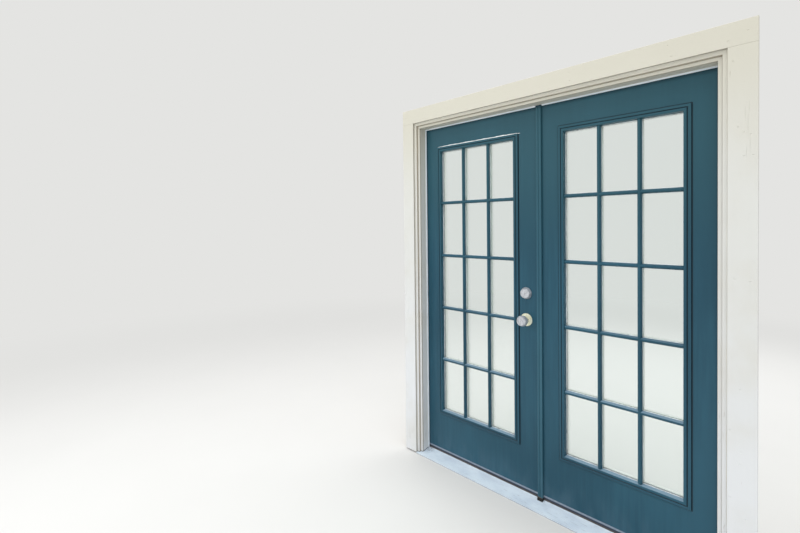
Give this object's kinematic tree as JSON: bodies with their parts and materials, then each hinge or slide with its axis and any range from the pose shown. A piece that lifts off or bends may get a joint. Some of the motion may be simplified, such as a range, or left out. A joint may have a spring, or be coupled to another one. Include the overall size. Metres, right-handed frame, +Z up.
{
  "type": "french doors",
  "caption": "Pair of inswing glazed french doors with muntin bars, astragal, knob and deadbolt, in their frame with sill, brickmould and flat casing.",
  "frame": {"origin": "on the sill's underside, at mid width, in the plane of the wall's outer face that the casing lies against", "axes": "+X to the right seen from outside, +Y into the house, +Z up"},
  "size_m": [1.7582, 0.1945, 2.1753],
  "materials": {
    "painted_trim": "warm white gloss paint on wood",
    "core_wood": "bare edge of the slab",
    "teal_paint": "satin teal paint",
    "white_paint": "satin white paint",
    "teal_moulding": "teal painted moulding",
    "white_moulding": "white moulding",
    "glass": "clear float glass",
    "spacer_metal": "mill finish",
    "grey_vinyl": "grey-lilac vinyl",
    "hinge_brass": "satin brass plate",
    "white_seal": "white foam-filled seal",
    "sill_composite": "dark composite substrate",
    "mill_aluminium": "mill finish, fluted",
    "cap_vinyl": "dark threshold cap",
    "satin_steel": "zinc plated",
    "black_rubber": "closed cell rubber",
    "worn_nickel": "worn silver-white plating",
    "pale_brass": "pale worn brass plating"
  },
  "bodies": {
    "frame": {"head_jamb": "painted_trim", "left_jamb": "painted_trim", "right_jamb": "painted_trim", "sill_base": "sill_composite", "sill_deck": "mill_aluminium", "threshold_cap": "cap_vinyl", "head_brickmould": "painted_trim", "left_brickmould": "painted_trim", "right_brickmould": "painted_trim", "head_casing": "painted_trim", "left_casing": "painted_trim", "right_casing": "painted_trim", "head_weatherstrip": "white_seal", "left_weatherstrip": "white_seal", "right_weatherstrip": "white_seal", "jamb_hinge_plates": "hinge_brass", "hinge_pins": "hinge_brass", "head_bolt_keeper": "satin_steel", "sill_bolt_keeper": "satin_steel", "astragal_sill_pad": "black_rubber"},
    "active_leaf": {"active_core": "core_wood", "active_outer_skin": "teal_paint", "active_inner_skin": "white_paint", "active_outer_lite_frame": "teal_moulding", "active_inner_lite_frame": "white_moulding", "active_outer_glass": "glass", "active_inner_glass": "glass", "active_glass_spacer": "spacer_metal", "active_door_sweep": "grey_vinyl", "active_hinge_plates": "hinge_brass", "deadbolt_collar": "worn_nickel", "deadbolt_inner_plate": "worn_nickel", "deadbolt_case": "satin_steel", "deadbolt_faceplate": "pale_brass", "outer_rose": "pale_brass", "inner_rose": "pale_brass", "latch_case": "satin_steel", "latch_faceplate": "pale_brass"},
    "inactive_leaf": {"inactive_core": "core_wood", "inactive_outer_skin": "teal_paint", "inactive_inner_skin": "white_paint", "inactive_outer_lite_frame": "teal_moulding", "inactive_inner_lite_frame": "white_moulding", "inactive_outer_glass": "glass", "inactive_inner_glass": "glass", "inactive_glass_spacer": "spacer_metal", "inactive_door_sweep": "grey_vinyl", "inactive_hinge_plates": "hinge_brass", "astragal": "teal_paint", "lock_strike": "satin_steel"},
    "knob_set": {"outer_knob": "worn_nickel", "inner_knob": "worn_nickel", "knob_spindle": "satin_steel", "knob_key_plug": "pale_brass"},
    "latch": {"latch_bolt": "pale_brass"},
    "thumbturn_set": {"deadbolt_thumbturn": "worn_nickel", "deadbolt_key_plug": "pale_brass"},
    "deadbolt": {"deadbolt_bolt": "satin_steel"},
    "top_bolt": {"top_flush_bolt": "satin_steel"},
    "bottom_bolt": {"bottom_flush_bolt": "satin_steel"}
  },
  "joints": [
    {"name": "active_leaf_swing", "type": "hinge", "parent": "frame", "child": "active_leaf", "pos_m": [-0.76825, 0.12, 0], "axis": [0, 0, 1], "range_deg": [0, 110]},
    {"name": "inactive_leaf_swing", "type": "hinge", "parent": "frame", "child": "inactive_leaf", "pos_m": [0.76825, 0.12, 0], "axis": [0, 0, -1], "range_deg": [0, 110]},
    {"name": "knob_turn", "type": "hinge", "parent": "active_leaf", "child": "knob_set", "pos_m": [-0.06775, 0.068, 0.945], "axis": [0, -1, 0], "range_deg": [0, 60]},
    {"name": "latch_slide", "type": "slide", "parent": "active_leaf", "child": "latch", "axis": [1, 0, 0], "range_m": [0, 0.012]},
    {"name": "deadbolt_turn", "type": "hinge", "parent": "active_leaf", "child": "thumbturn_set", "pos_m": [-0.06775, 0.068, 1.085], "axis": [0, -1, 0], "range_deg": [0, 90]},
    {"name": "deadbolt_slide", "type": "slide", "parent": "active_leaf", "child": "deadbolt", "axis": [1, 0, 0], "range_m": [0, 0.025]},
    {"name": "top_flush_bolt_slide", "type": "slide", "parent": "inactive_leaf", "child": "top_bolt", "axis": [0, 0, 1], "range_m": [0, 0.016]},
    {"name": "bottom_flush_bolt_slide", "type": "slide", "parent": "inactive_leaf", "child": "bottom_bolt", "axis": [0, 0, -1], "range_m": [0, 0.03]}
  ],
  "couplings": [
    {"joint": "latch_slide", "follows": "knob_turn", "m_per_rad": 0.01145},
    {"joint": "deadbolt_turn", "follows": "deadbolt_slide", "rad_per_m": 62.8}
  ]
}
